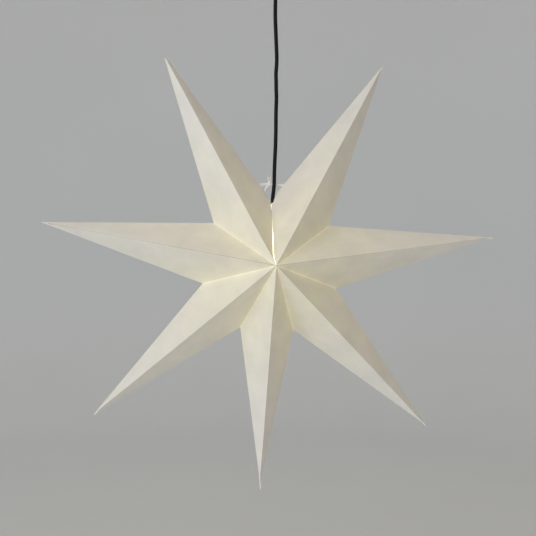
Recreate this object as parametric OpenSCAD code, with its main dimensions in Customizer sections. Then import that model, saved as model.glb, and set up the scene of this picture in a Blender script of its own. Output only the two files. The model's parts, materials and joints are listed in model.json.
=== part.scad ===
// Seven-pointed folded paper star lamp, hanging on its cord from a ceiling cup.
// X points right and Z up as seen from the front, and the front apex points to -Y.
// The origin is on the ceiling, in the middle of the hanger strap.

/* [Star] */
// Distance from the middle of the star to the end of an average ray
ray_len = 360; // [320:5:420]
// Distance from the middle of the star to a notch between two rays
notch_r = 109; // [100:1:125]
// Distance from the middle plane to the front or back apex
half_depth = 90; // [80:1:105]
// Depth of the middle plane's centre below the ceiling
star_drop = 500; // [490:1:515]
// Distance that the star's middle hangs beside the ceiling point
star_x = -7.5; // [-9:0.5:-6]
// Angle by which the level rays sag below an even spacing
star_sag = 5.4; // [0:0.1:8]
// Clockwise turn of the whole star
star_turn = 1.9; // [0:0.1:3]
// How much nearer to the middle the notch of the open seam lies
seam_notch_in = 8; // [0:1:10]

/* [Paper] */
// Thickness of the sheet
paper_t = 0.3; // [0.2:0.05:0.5]
// Width of the glue flaps along the valleys
flap_w = 12; // [8:1:14]
// Length by which a flap narrows at each end
flap_bevel = 10; // [6:1:14]
// Distance from an apex to the start of a flap
flap_from_apex = 10; // [8:1:20]
// Distance from a notch to the end of a flap
flap_from_notch = 28; // [27:1:40]
// Width of the tab glued inside the back ridge
tab_w = 10; // [6:1:14]
// Distance from an apex to the start of the back tab
tab_from_apex = 20; // [12:1:40]
// Distance from a ray's end to the end of the back tab
tab_from_tip = 70; // [60:5:110]
// Length of the pressed point at each ray's end
nib_len = 14; // [12:1:24]
// Width of the pressed point
nib_w = 2.6; // [2:0.1:3.4]
// Thickness of the pressed point
nib_t = 1.2; // [1:0.1:2]

/* [Seam] */
// Opening of the seam at the notch between the two upper rays
seam_open = 2.4; // [1:0.1:4]
// Reach of the cable cut to the left of the notch
cut_left = 8.6; // [8.2:0.2:10]
// Height over the notch at which the cable cut leaves the left crease
cut_left_up = 10.5; // [9:0.5:11]
// Reach of the cable cut to the right of the notch
cut_right = 10; // [9:0.2:11]
// Height over the notch at which the cable cut bends on the right
cut_right_up = 8.5; // [7:0.5:9.5]
// Depth of the cable cut's foot below the notch
cut_down = 5.8; // [5.2:0.2:6.6]
// Width of the cable cut at its foot
cut_foot_w = 3; // [2.4:0.2:4]

/* [Tie string] */
// Diameter of the string
string_d = 1.6; // [1:0.1:2]
// Diameter of the tie holes
tie_hole_d = 3; // [2.6:0.1:4]
// Height of the tie holes over the notch
tie_hole_up = 26; // [22:1:32]
// Height of the lower tie hole, in the left ray alone
tie_low_up = 15; // [14:0.5:17]
// Distance of the tie holes from the crease
tie_hole_in = 6; // [5:0.5:9]
// Radius of the knots
knot_r = 2.2; // [2.1:0.1:2.6]
// Distance of the outer knot behind the middle plane
knot_back = 6; // [5.6:0.1:8]
// Length of the two free ends
free_end = 11; // [6:1:16]

/* [Lampholder] */
// Distance of the holder's axis beside the ceiling point
holder_x = -4; // [-6:0.5:-3]
// Radius of the collar that carries the star
collar_r = 8; // [7.5:0.1:9]
// Height of the collar
collar_h = 7; // [6.4:0.1:8]
// Bevel of the collar's upper edge
collar_bevel = 0.8; // [0.4:0.1:1.2]
// Outer radius of the holder
holder_r = 14; // [13.6:0.1:15]
// Height of the cap under its collar
cap_h = 17; // [16:1:20]
// Height of the cap's rounded shoulder
cap_round = 6; // [4:0.5:8]
// Wall of the cap
holder_wall = 1.6; // [1.2:0.1:1.8]
// Wall of the sleeve
sleeve_wall = 3; // [2.6:0.1:3.4]
// Length of the sleeve below the cap
sleeve_h = 28; // [26:1:32]
// Length of the threaded neck of the sleeve inside the cap
sleeve_neck_h = 6; // [4:0.5:8]
// Depth of the insert below the cap
insert_drop = 4; // [3:0.5:6]
// Thickness of the insert's plate
insert_h = 8; // [7:0.5:10]
// Length of the cord grip
grip_len = 20; // [18:1:21]
// Radius of the cord grip at its thin end
grip_top_r = 3.8; // [3.6:0.1:4]
// Radius of the cord grip at its thick end
grip_foot_r = 6; // [5.6:0.1:6.4]
// Radius of the screw in the collar
grip_screw_r = 1.3; // [1:0.1:1.6]
// Length by which that screw stands out of the collar
grip_screw_out = 1.6; // [0.8:0.2:2]
// Depth of the insert's skirt around the screw shell
skirt_h = 8; // [6:0.5:10]
// Wall of the screw shell
shell_wall = 0.4; // [0.3:0.1:0.6]
// Radius of the centre contact
contact_r = 2.6; // [2.2:0.1:3]
// Thickness of the centre contact
contact_t = 0.5; // [0.4:0.1:0.8]
// Radius of the terminal screws
terminal_screw_r = 1.05; // [0.9:0.05:1.2]

/* [Bulb] */
// Diameter of the globe
globe_d = 45; // [42:1:48]
// Length of the bulb over all
bulb_len = 78; // [76:1:84]
// Crest radius of the bulb's thread
bulb_thread_r = 6.8; // [6.6:0.1:7]
// Length of the bulb's thread
bulb_thread_h = 14; // [12:0.5:15]
// Pitch of the thread
thread_pitch = 2.8; // [2.6:0.1:3]
// Depth of the thread
thread_depth = 0.6; // [0.4:0.1:0.8]
// Radius of the contact button on top of the bulb
button_r = 3; // [2.4:0.1:3.4]
// Height from the button to the first thread
button_h = 3; // [2:0.5:4]
// Radius at which the neck meets the globe
bulb_neck_r = 11.5; // [10:0.5:13]

/* [Cord] */
// Diameter of the lamp cord
cord_d = 6; // [5:0.5:6]
// Diameter of one core
core_d = 2.2; // [1.8:0.1:2.4]

/* [Ceiling cup] */
// Diameter of the cup
cup_d = 90; // [80:1:110]
// Height of the cup
cup_h = 42; // [38:1:46]
// Wall of the cup
cup_wall = 2; // [1.6:0.1:3]
// Radius of the rounded lower edge
cup_round = 8; // [4:1:12]
// Length of the gland's tail below the cup
gland_tail = 22; // [20:1:24]
// Radius of the gland's threaded neck
gland_r = 5; // [4.6:0.1:5.6]
// Thickness of the gland's collar
gland_collar_h = 3; // [2:0.5:5]
// Width of the gland's collar round its neck
gland_rim = 3; // [2:0.5:4]
// Wall of the gland's tail at its end
gland_tip_wall = 1.1; // [0.8:0.1:1.6]
// Length of the gland's neck beyond the nut
gland_over = 3; // [2:0.5:4]
// Width across the flats of the gland nut
nut_w = 17; // [15:0.5:20]
// Height of the gland nut
nut_h = 5; // [4:0.5:7]

/* [Hanger strap] */
// Width of the strap
strap_w = 16; // [12:1:22]
// Thickness of the strap
strap_t = 1.5; // [1:0.1:2]
// Depth of the strap's ears
ear_h = 12; // [10:1:18]
// Distance between the two ceiling screw holes
strap_pitch = 50; // [40:1:58]
// Radius of the ceiling screw holes
strap_hole_r = 2.3; // [2:0.1:3]
// Radius of the cup's side screws
side_screw_r = 1.5; // [1.2:0.1:2]

/* [Terminal block] */
// Length of the block
block_l = 24; // [22:1:28]
// Width of the block
block_w = 16; // [14:1:20]
// Height of the block
block_h = 11; // [10:1:14]
// Distance between the two ways
block_pitch = 10; // [9:0.5:12]
// Height of the ways over the block's foot
way_up = 3.5; // [3.2:0.1:4]
// Radius of the block's screws
block_screw_r = 1.5; // [1.2:0.1:1.8]

/* [Hidden] */
ray_names = ["ray_upper_left", "ray_upper_right", "ray_right", "ray_lower_right",
             "ray_bottom", "ray_lower_left", "ray_left"];
$fn = 40;
tiny = 0.01;
glue_line = 0.02;
thread_gap = 0.05;
fit_gap = 0.2;
seat_gap = 0.3;
core_apart = 1.6;
terminal_x = 7;

// Small unevenness of a hand-glued star, one value per ray in the order of ray_names
ray_swing = [1, 0.25, 1, -1, -0.5, -0.5, -0.75];
ray_extra = [7, 1, 3, 3, -13, -1, -1];
// Reach of each pressed point past the meeting of its folds, and its bend sideways
nib_reach = [-9, -2, 0, 1, 11, 1, -2];
nib_bend = [3, 0, -1, -1.5, 1, 1.5, 0];
// The same for the notches, each listed before the ray clockwise of it
notch_swing = [0.5, 1.5, 0.25, -0.25, -1.5, 0.25, 0];
notch_extra = [0, 0, 2, 3, 2, 1, 1];

ray_count = len(ray_names);
share = 360 / ray_count;
centre = [star_x, 0, -star_drop];
apex_front = centre - [0, half_depth, 0];
apex_back = centre + [0, half_depth, 0];

function unit(v) = v / norm(v);
function towards(n, v) = n * v < 0 ? -n : n;
function ring_point(r, a) = centre + r * [cos(a), 0, sin(a)];
function hung(a) = a - star_sag * cos(a) - star_turn;
function ray_tip(k) = ring_point(ray_len + ray_extra[k], hung(90 + share / 2 - k * share) + ray_swing[k]);
function notch_point(k) =
    ring_point(notch_r + notch_extra[k % ray_count] - (k == 1 ? seam_notch_in : 0),
               hung(90 + share - k * share) + notch_swing[k % ray_count]);
seam_notch = notch_point(1);
// The two seam edges stand apart at the notch and meet at the apexes
function notch_before(k) = notch_point(k) + (k == 1 ? [seam_open / 2, 0, 0] : [0, 0, 0]);
function notch_after(k) = notch_point(k + 1) - (k == 0 ? [seam_open / 2, 0, 0] : [0, 0, 0]);

// A closed skin over rings of equally many points, with flat fans as its two ends
module skin(rings) {
    n = len(rings[0]);
    m = len(rings);
    first = rings[0];
    outward = cross(first[1] - first[0], first[2] - first[0]) * (rings[1][0] - first[0]) > 0;
    faces = [
        for (i = [1:n - 2]) [0, i, i + 1],
        for (i = [1:n - 2]) [(m - 1) * n, (m - 1) * n + i + 1, (m - 1) * n + i],
        for (j = [0:m - 2], i = [0:n - 1]) let (a = j * n + i, b = j * n + (i + 1) % n)
            each [[a, a + n, b + n], [a, b + n, b]]];
    polyhedron(
        points = [for (r = rings, p = r) p],
        faces = outward ? faces : [for (f = faces) [f[2], f[1], f[0]]]);
}

// A flat patch of paper: its outline is thickened along one direction
module patch(outline, lift) {
    skin([outline, [for (p = outline) p + lift]]);
}

// The four base corners of a folded ray, in the order of its sheet
function base(k) = [apex_front, notch_before(k), apex_back, notch_after(k)];
function ray_dir(k) = unit(ray_tip(k) - centre);
// Points where the ray's four folds cross a plane at a distance from its end
function fold_ring(k, end, back) =
    [for (c = base(k)) end + (c - end) * back / ((end - c) * ray_dir(k))];
function panel_normal(k, c, n) =
    towards(unit(cross(n - c, ray_tip(k) - c)), c - centre);
// Shift that moves all four panel planes inwards by one sheet
function inset(k, depth) =
    let (a = panel_normal(k, apex_front, notch_before(k)),
         b = panel_normal(k, apex_front, notch_after(k)),
         d = a.x * b.z - a.z * b.x)
    depth * [(a.z - b.z) / d, 0, (b.x - a.x) / d];

// The end of the sheet, pressed flat by the glue: three rings out from the last open one
function nib_rings(k) =
    let (tip = ray_tip(k),
         dir = ray_dir(k),
         span = notch_before(k) - notch_after(k),
         side = unit(span - dir * (span * dir)),
         section = [for (s = [[-nib_t, 0], [0, nib_w], [nib_t, 0], [0, -nib_w]])
                    [0, s.x / 2, 0] + side * s.y / 2],
         mid = tip + dir * (nib_reach[k] - nib_len) / 2 + side * nib_bend[k] * 0.2,
         end = tip + dir * nib_reach[k] + side * nib_bend[k])
    [[for (s = section) end + s * 0.4], [for (s = section) mid + s], fold_ring(k, tip, nib_len)];

// Four panels folded from one sheet, solid only at the pressed end
module folded_shell(k) {
    tip = ray_tip(k);
    shift = inset(k, paper_t);
    inner_back = nib_len + shift * ray_dir(k) + paper_t;
    difference() {
        skin([each nib_rings(k), base(k)]);
        skin([fold_ring(k, tip + shift, inner_back),
              [for (c = base(k)) tip + shift + (c - tip) * 1.4]]);
    }
}

// One glue flap along the fold from an apex to a notch, on the ray's own side of the valley
module flap(k, apex, notch) {
    along = unit(notch - apex);
    axis = unit(centre - apex);
    inward = unit(axis - along * (axis * along));
    lift = towards(unit(cross(along, inward)), ray_dir(k)) * paper_t;
    stop = norm(notch - apex) - flap_from_notch;
    root = inward * paper_t / 3 + lift * glue_line / paper_t;
    patch([apex + root + along * flap_from_apex,
           apex + root + along * stop,
           apex + root + along * (stop - flap_bevel) + inward * flap_w,
           apex + root + along * (flap_from_apex + 1.6 * flap_bevel) + inward * flap_w], lift);
}

// The tab that closes the sheet, glued to the inside of one back panel along the ridge
module back_tab(k) {
    tip = ray_tip(k);
    n = panel_normal(k, apex_back, notch_after(k));
    shift = inset(k, paper_t);
    along = unit(tip - apex_back);
    across = towards(unit(cross(n, along)), notch_after(k) - apex_back);
    foot = apex_back + shift + n * paper_t / 2;
    stop = norm(tip - apex_back) - tab_from_tip;
    patch([foot + along * tab_from_apex,
           foot + along * stop,
           foot + along * (stop - 2 * tab_w) + across * tab_w,
           foot + along * (tab_from_apex + tab_w) + across * tab_w], -n * 1.5 * paper_t);
}

// Point on the seam-side crease beside the notch, and the tie hole inside the back panel
function seam_side(k) = k == 0 ? notch_after(0) : notch_before(1);
function crease_at(k, up) =
    let (a = seam_side(k), b = ray_tip(k)) a + (b - a) * up / (b.z - a.z);
function tie_hole(k, up) =
    let (c = crease_at(k, up)) c + unit(apex_back - c) * tie_hole_in;
function tie_normal(k) = panel_normal(k, apex_back, seam_side(k));
// Each tie hole is named by its ray and its height over the notch
tie_holes = [[0, tie_hole_up], [1, tie_hole_up], [0, tie_low_up]];

module aim(at, dir) {
    translate(at) rotate([0, acos(dir.z), atan2(dir.y, dir.x)]) children();
}

// V-shaped cut through the creases at the open seam, which lets the cord into the star
module cable_cut() {
    mid = holder_x - seam_notch.x;
    translate(seam_notch) rotate([90, 0, 0]) linear_extrude(half_depth, center = true) polygon([
        [-cut_left, cut_left_up], [mid - cut_foot_w / 2, -cut_down],
        [mid + cut_foot_w / 2, -cut_down], [cut_right, cut_right_up]]);
}

module ray(k) {
    color([0.93, 0.91, 0.84])
    difference() {
        union() {
            folded_shell(k);
            back_tab(k);
            for (a = [apex_front, apex_back], n = [notch_before(k), notch_after(k)]) flap(k, a, n);
        }
        if (k < 2) cable_cut();
        for (h = tie_holes) if (h[0] == k) aim(tie_hole(k, h[1]), tie_normal(k))
            cylinder(d = tie_hole_d, h = 4 * tie_hole_d, center = true);
    }
}

// A round tube swept through a list of points
function ring_at(pts, i, r, sides) =
    let (d = unit(pts[min(i + 1, len(pts) - 1)] - pts[max(i - 1, 0)]),
         u = unit(cross(abs(d.y) > 0.9 ? [1, 0, 0] : [0, 1, 0], d)),
         v = cross(d, u))
    [for (s = [0:sides - 1]) pts[i] + r * (u * cos(s * 360 / sides) + v * sin(s * 360 / sides))];
module tube_along(pts, d, sides) {
    skin([for (i = [0:len(pts) - 1]) ring_at(pts, i, d / 2, sides)]);
}
// Smooth points between the chosen ones of a route
function smooth(p, steps) =
    [for (i = [0:len(p) - 2], s = [0:steps - 1])
        let (t = s / steps, a = p[max(i - 1, 0)], b = p[i], c = p[i + 1], d = p[min(i + 2, len(p) - 1)])
        0.5 * (2 * b + (c - a) * t + (2 * a - 5 * b + 4 * c - d) * t * t
               + (3 * b - a - 3 * c + d) * t * t * t),
     p[len(p) - 1]];

// The string comes out of the holes in the two upper rays and is knotted behind the cord
module tie_string() {
    knot = [seam_notch.x - 1.5, knot_back, seam_notch.z + tie_hole_up - 1.5];
    color("white") {
        for (h = tie_holes) {
            hole = tie_hole(h[0], h[1]);
            n = tie_normal(h[0]);
            inside = hole - n * (paper_t + knot_r + seat_gap);
            outside = hole + n * 2.5;
            tube_along([inside, hole, outside, (outside + knot) / 2 + [0, 1.4, 0.6], knot], string_d, 8);
            translate(inside) sphere(r = knot_r, $fn = 24);
        }
        for (side = [-1, 1])
            tube_along([knot, knot + [side * 1.2, 0.4, free_end * 0.4],
                        knot + [side * 2, 0.6, free_end]], string_d, 8);
        translate(knot) sphere(r = knot_r, $fn = 24);
    }
}

// Height at which the collar's rim meets the valley folds of the open seam
collar_half = sqrt(pow(collar_r, 2) - pow(holder_x - seam_notch.x, 2));
valley_slope = (seam_notch.z - centre.z) / half_depth;
holder_top = seam_notch.z - (collar_half + seat_gap + paper_t * norm([1, valley_slope]) / valley_slope)
             * valley_slope;
cap_foot = holder_top - collar_h - cap_h;
sleeve_foot = cap_foot - sleeve_h;
shoulder = holder_top - collar_h;
bore_r = holder_r - holder_wall;
neck_r = bore_r - fit_gap;
sleeve_bore = holder_r - sleeve_wall;
grip_top = holder_top + 4;
grip_foot = grip_top - grip_len;
grip_rim = 2;
grip_slope = (grip_foot_r - grip_top_r) / (grip_len - grip_rim);
function grip_r_at(z) = grip_top_r + grip_slope * (grip_top - z);
grip_screw_z = holder_top - collar_h / 2;
insert_top = cap_foot - insert_drop;
insert_foot = insert_top - insert_h;
insert_r = sleeve_bore - fit_gap;
contact_z = insert_foot - 2 * contact_t;
shell_r = bulb_thread_r + seat_gap;
shell_out_r = shell_r + shell_wall + thread_depth;
flange_r = shell_out_r + seat_gap;
bulb_top = contact_z - seat_gap;

// Puts a holder part, drawn at its own height on the axis, on the holder's axis
module on_holder() {
    translate([holder_x, 0, 0]) children();
}
module ring(r_out, r_in, z_low, z_high) {
    translate([0, 0, z_low]) difference() {
        cylinder(r = r_out, h = z_high - z_low);
        translate([0, 0, -1]) cylinder(r = r_in, h = z_high - z_low + 2);
    }
}

// Tapered sleeve that clamps the cord in the cap's collar
module cord_grip() {
    color([0.09, 0.09, 0.09]) on_holder() rotate_extrude() polygon([
        [cord_d / 2 + tiny, grip_foot], [grip_foot_r, grip_foot], [grip_foot_r, grip_foot + grip_rim],
        [grip_top_r, grip_top], [cord_d / 2 + tiny, grip_top]]);
}

// Rounded shoulder from the collar out to the cap's side, or its inner face one wall inside
function shoulder_arc(wall) =
    [for (a = [0:15:90])
        [collar_r + (holder_r - collar_r - wall) * sin(a), shoulder - wall - cap_round * (1 - cos(a))]];

module holder_cap() {
    inner = shoulder_arc(holder_wall);
    color([0.08, 0.08, 0.08]) on_holder() difference() {
        rotate_extrude() polygon([
            [grip_r_at(holder_top) + fit_gap, holder_top], [collar_r - collar_bevel, holder_top],
            [collar_r, holder_top - collar_bevel], each shoulder_arc(0),
            [holder_r, cap_foot], [bore_r, cap_foot],
            for (i = [len(inner) - 1:-1:0]) inner[i],
            [grip_r_at(shoulder - holder_wall) + fit_gap, shoulder - holder_wall]]);
        grip_screw_body(grip_screw_r + fit_gap, grip_top_r);
    }
}

// Small screw through the collar that presses on the cord grip
module grip_screw_body(r, inner) {
    translate([0, 0, grip_screw_z]) rotate([0, 90, 0])
        translate([0, 0, inner]) cylinder(r = r, h = collar_r + grip_screw_out - inner);
}
module grip_screw() {
    color("silver") on_holder() grip_screw_body(grip_screw_r, grip_r_at(grip_screw_z) + fit_gap);
}

module holder_sleeve() {
    color([0.08, 0.08, 0.08]) on_holder() {
        ring(holder_r, sleeve_bore, sleeve_foot, cap_foot);
        ring(neck_r, sleeve_bore, cap_foot - tiny, cap_foot + sleeve_neck_h);
    }
}

// Plate that carries the contacts, with a skirt round the screw shell
module holder_insert() {
    stem_r = 1.5;
    color("ivory") on_holder() {
        difference() {
            ring(insert_r, stem_r, insert_foot, insert_top);
            for (s = [-1, 1]) translate([s * terminal_x, 0, insert_foot - 1])
                cylinder(r = terminal_screw_r + fit_gap, h = insert_h + 2);
        }
        ring(insert_r, flange_r + fit_gap, insert_foot - skirt_h, insert_foot + tiny);
    }
}

// Threaded shell, hung by its flange under the insert's plate
module screw_shell() {
    turns = floor((bulb_thread_h - 1) / thread_pitch);
    flange = insert_foot - shell_wall;
    top = flange - 2;
    color("gold") on_holder() rotate_extrude() polygon([
        for (i = [0:2 * turns]) [shell_r + (i % 2) * thread_depth, top - i * thread_pitch / 2],
        for (i = [2 * turns:-1:0])
            [shell_r + shell_wall + (i % 2) * thread_depth, top - i * thread_pitch / 2],
        [shell_r + shell_wall, flange], [flange_r, flange], [flange_r, insert_foot],
        [shell_r - 1, insert_foot], [shell_r - 1, flange], [shell_r, flange]]);
}

module centre_contact() {
    strip_w = 2.4;
    stem_r = 1.5 - fit_gap;
    color("gold") on_holder() {
        translate([0, 0, contact_z]) cylinder(r = contact_r, h = contact_t);
        translate([-strip_w / 2, -strip_w / 2, contact_z]) cube([strip_w, strip_w, insert_foot - contact_z]);
        translate([0, 0, insert_foot - tiny]) cylinder(r = stem_r, h = insert_h + tiny);
    }
}

// Round head with a slot across it
module screw_head(r, head_h) {
    slot_w = 0.28 * r;
    difference() {
        cylinder(r = r, h = head_h);
        translate([-r, -slot_w / 2, 0.62 * head_h]) cube([2 * r, slot_w, head_h]);
    }
}
terminal_head_h = 1.5 * terminal_screw_r;
module terminal_screws() {
    color("gold") on_holder() for (s = [-1, 1]) translate([s * terminal_x, 0, 0]) {
        translate([0, 0, insert_top]) screw_head(2.2 * terminal_screw_r, terminal_head_h);
        translate([0, 0, insert_foot + 1]) cylinder(r = terminal_screw_r, h = insert_h - 1 + tiny);
    }
}

// Two short cores from the cord's cut end to the terminal screws
module holder_cores() {
    color("sienna") on_holder() for (s = [-1, 1])
        tube_along(smooth([for (z = [tiny, 1, 2]) [s * core_apart, 0, cord_foot - z],
                           [s * 5, 0, (cord_foot + insert_top) / 2],
                           [s * terminal_x, 0, insert_top + 4],
                           [s * terminal_x, 0, insert_top + terminal_head_h + fit_gap]], 3),
                   core_d, 8);
}

// Opal globe on a neck that narrows to the threaded cap
module light_bulb() {
    turns = floor(bulb_thread_h / thread_pitch);
    top = bulb_top - button_h;
    foot = top - bulb_thread_h;
    globe_z = bulb_top - bulb_len + globe_d / 2;
    meet = globe_z + sqrt(pow(globe_d / 2, 2) - pow(bulb_neck_r, 2));
    cap_r = bulb_thread_r - thread_depth;
    color("white") on_holder() {
        rotate_extrude() polygon([
            [0, bulb_top], [0.8 * button_r, bulb_top], [button_r, bulb_top - 0.25 * button_h],
            [0.75 * cap_r, top],
            for (i = [1:2 * turns]) [bulb_thread_r - (i % 2 ? 0 : thread_depth), top - i * thread_pitch / 2],
            for (a = [0:15:90])
                [cap_r + (bulb_neck_r - cap_r) * (1 - cos(a)), foot + (meet - foot) * sin(a)],
            [0, meet]]);
        translate([0, 0, globe_z]) sphere(d = globe_d);
    }
}

// The cord's route, by hand: from the holder's grip up through the cable hole to the cup
cord_route = [
    [-4, 0, -426], [-4, 0, -418], [-4, 0, -411], [-4, 0, -404], [-3.2, 0, -394], [-1.9, 0, -383],
    [-1.2, 0, -372], [-1, 0, -358], [-0.6, 0, -344], [0, 0, -330], [0.6, 0, -316], [1, 0, -300],
    [1.2, 0, -284], [1.2, 0, -268], [1.5, 0.2, -254], [1.9, 0.3, -241], [1.5, 0.2, -228],
    [1.3, 0, -215], [1, 0, -203], [1.8, -0.2, -190], [2.1, -0.2, -178], [1.6, 0, -164],
    [0.9, 0, -148], [0.2, 0, -132], [-0.4, 0, -116], [-0.4, 0, -100], [-0.2, 0, -84],
    [0, 0, -70], [0, 0, -56], [0, 0, -42], [0, 0, -28]];
cord_foot = cord_route[0].z;
cord_top = cord_route[len(cord_route) - 1].z;
module lamp_cord() {
    color([0.05, 0.05, 0.05]) tube_along(cord_route, cord_d, 12);
}

// Cup, open at the ceiling, with a rounded lower edge
cup_r = cup_d / 2;
ear_x = sqrt(pow(cup_r - cup_wall, 2) - pow(strap_w / 2, 2)) - fit_gap;
screw_z = -ear_h / 2 - strap_t;
module ceiling_cup() {
    module cup_body(r, low, edge) {
        translate([0, 0, low]) rotate_extrude() {
            square([r - edge, -low]);
            translate([0, edge]) square([r, -low - edge]);
            translate([r - edge, edge]) intersection() {
                circle(r = edge);
                translate([0, -edge]) square([edge, edge]);
            }
        }
    }
    color([0.07, 0.07, 0.07]) difference() {
        cup_body(cup_r, -cup_h, cup_round);
        translate([0, 0, cup_wall / 2]) cup_body(cup_r - cup_wall, -cup_h + cup_wall / 2,
                                                 max(cup_round - cup_wall, 1));
        translate([0, 0, -cup_h - 1]) cylinder(r = gland_r + fit_gap, h = cup_wall + 2);
        for (s = [0, 180]) rotate([0, 0, s]) translate([0, 0, screw_z]) rotate([0, 90, 0])
            cylinder(r = side_screw_r + fit_gap, h = cup_r + 1);
    }
}

cup_floor = -cup_h + cup_wall;
module cup_gland() {
    color([0.1, 0.1, 0.1]) rotate_extrude() polygon([
        [cord_d / 2 + tiny, cup_floor + nut_h + gland_over], [gland_r, cup_floor + nut_h + gland_over],
        [gland_r, -cup_h], [gland_r + gland_rim, -cup_h], [gland_r + gland_rim, -cup_h - gland_collar_h],
        [gland_r + 1, -cup_h - gland_collar_h - 1], [cord_d / 2 + gland_tip_wall, -cup_h - gland_tail],
        [cord_d / 2 + tiny, -cup_h - gland_tail]]);
}
module gland_nut() {
    color([0.1, 0.1, 0.1]) translate([0, 0, cup_floor]) difference() {
        cylinder(d = nut_w / cos(30), h = nut_h, $fn = 6);
        translate([0, 0, -1]) cylinder(r = gland_r + thread_gap, h = nut_h + 2);
    }
}

// Flat steel strap with two bent ears that the cup is screwed to
module hanger_strap() {
    color("silver") difference() {
        union() {
            translate([-ear_x, -strap_w / 2, -strap_t]) cube([2 * ear_x, strap_w, strap_t]);
            for (x = [-ear_x, ear_x - strap_t]) translate([x, -strap_w / 2, -ear_h - strap_t])
                cube([strap_t, strap_w, ear_h + strap_t]);
        }
        for (s = [-1, 1]) {
            translate([s * strap_pitch / 2, 0, -strap_t - 1]) cylinder(r = strap_hole_r, h = strap_t + 2);
            translate([s * (ear_x - strap_t / 2), 0, screw_z]) rotate([0, 90, 0])
                cylinder(r = side_screw_r + thread_gap, h = strap_t + 2, center = true);
        }
    }
}
module side_screws() {
    color("silver") for (s = [0, 180]) rotate([0, 0, s]) translate([cup_r, 0, screw_z]) rotate([0, 90, 0]) {
        screw_head(2 * side_screw_r, side_screw_r);
        translate([0, 0, -cup_wall - strap_t - 2])
            cylinder(r = side_screw_r, h = cup_wall + strap_t + 2 + tiny);
    }
}

// Two-way block hanging under the strap, with the cord's cores in its ways
block_top = -strap_t;
way_z = block_top - block_h + way_up;
module terminal_block() {
    color("ivory") difference() {
        translate([-block_l / 2, -block_w / 2, block_top - block_h]) cube([block_l, block_w, block_h]);
        for (s = [-1, 1]) translate([s * block_pitch / 2, 0, 0]) {
            translate([0, 0, way_z]) rotate([90, 0, 0])
                cylinder(r = core_d / 2 + 2 * fit_gap, h = block_w + 2, center = true);
            for (y = [-1, 1]) translate([0, y * block_w / 4, block_top - block_h - 1])
                cylinder(r = block_screw_r + fit_gap, h = way_up);
        }
    }
}
module block_screws() {
    color("gold") for (s = [-1, 1], y = [-1, 1])
        translate([s * block_pitch / 2, y * block_w / 4, way_z - core_d / 2 - seat_gap]) mirror([0, 0, 1])
            screw_head(block_screw_r, way_up - core_d / 2 - 2 * seat_gap);
}
module cup_cores() {
    color("sienna") for (s = [-1, 1])
        tube_along(smooth([for (z = [tiny, 1, 2]) [s * core_apart, 0, cord_top + z],
                           [s * 2, -3, cord_top + 4],
                           [s * block_pitch / 2, -block_w / 2 - 6, way_z - 2],
                           [s * block_pitch / 2, -block_w / 2 - 3, way_z],
                           [s * block_pitch / 2, -block_w / 4, way_z]], 3), core_d, 8);
}

ray(0);  // ray_upper_left
ray(1);  // ray_upper_right
ray(2);  // ray_right
ray(3);  // ray_lower_right
ray(4);  // ray_bottom
ray(5);  // ray_lower_left
ray(6);  // ray_left
tie_string();
lamp_cord();
cord_grip();
holder_cap();
grip_screw();
holder_sleeve();
holder_insert();
screw_shell();
centre_contact();
terminal_screws();
holder_cores();
light_bulb();
ceiling_cup();
cup_gland();
gland_nut();
hanger_strap();
side_screws();
terminal_block();
block_screws();
cup_cores();
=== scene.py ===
import json
import math
import bmesh
import bpy
from mathutils import Matrix, Vector

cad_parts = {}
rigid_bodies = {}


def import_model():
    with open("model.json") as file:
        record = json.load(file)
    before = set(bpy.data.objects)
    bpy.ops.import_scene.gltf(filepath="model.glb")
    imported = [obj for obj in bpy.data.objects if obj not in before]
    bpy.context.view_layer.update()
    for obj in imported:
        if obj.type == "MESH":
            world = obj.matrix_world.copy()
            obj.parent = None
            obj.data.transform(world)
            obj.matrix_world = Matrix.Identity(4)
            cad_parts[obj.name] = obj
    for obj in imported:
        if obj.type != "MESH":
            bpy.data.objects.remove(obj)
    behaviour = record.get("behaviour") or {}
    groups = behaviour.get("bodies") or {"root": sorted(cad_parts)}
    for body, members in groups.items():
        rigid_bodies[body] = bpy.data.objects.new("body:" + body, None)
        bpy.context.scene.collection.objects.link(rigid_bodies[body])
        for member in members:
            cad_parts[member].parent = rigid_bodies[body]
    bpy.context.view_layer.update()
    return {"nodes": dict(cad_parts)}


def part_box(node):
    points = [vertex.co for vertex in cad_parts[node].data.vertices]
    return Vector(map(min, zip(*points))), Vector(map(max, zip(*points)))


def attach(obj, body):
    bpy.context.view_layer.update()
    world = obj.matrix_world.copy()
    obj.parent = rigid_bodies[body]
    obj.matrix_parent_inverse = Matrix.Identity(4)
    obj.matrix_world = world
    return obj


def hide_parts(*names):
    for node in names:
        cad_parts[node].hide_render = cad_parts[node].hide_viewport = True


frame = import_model()
nodes = frame["nodes"]
mm = 0.001
scene = bpy.context.scene
print("frame loaded:", len(nodes), "nodes")


def point(x, y, z):
    return Vector((x, y, z)) * mm


# Camera: the photograph's view, level apart from a slight downward pitch
cameraView = {
    "place": point(-183.8, -1560.7, -453.8),
    "forward": Vector((0.1103, 0.9933, -0.0336)),
    "up": Vector((0.0002, 0.0338, 0.9994)),
    "lens": 67.16,
    "sensor": 36.0,
    "clipEnd": 60.0,
}


def makeCamera(view):
    data = bpy.data.cameras.new("photoCamera")
    data.sensor_width = view["sensor"]
    data.lens = view["lens"]
    data.clip_end = view["clipEnd"]
    camera = bpy.data.objects.new("photoCamera", data)
    scene.collection.objects.link(camera)
    forward = view["forward"].normalized()
    right = forward.cross(view["up"]).normalized()
    up = right.cross(forward)
    turn = Matrix((right, up, -forward)).transposed()
    camera.matrix_world = Matrix.Translation(view["place"]) @ turn.to_4x4()
    scene.camera = camera


makeCamera(cameraView)


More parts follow.
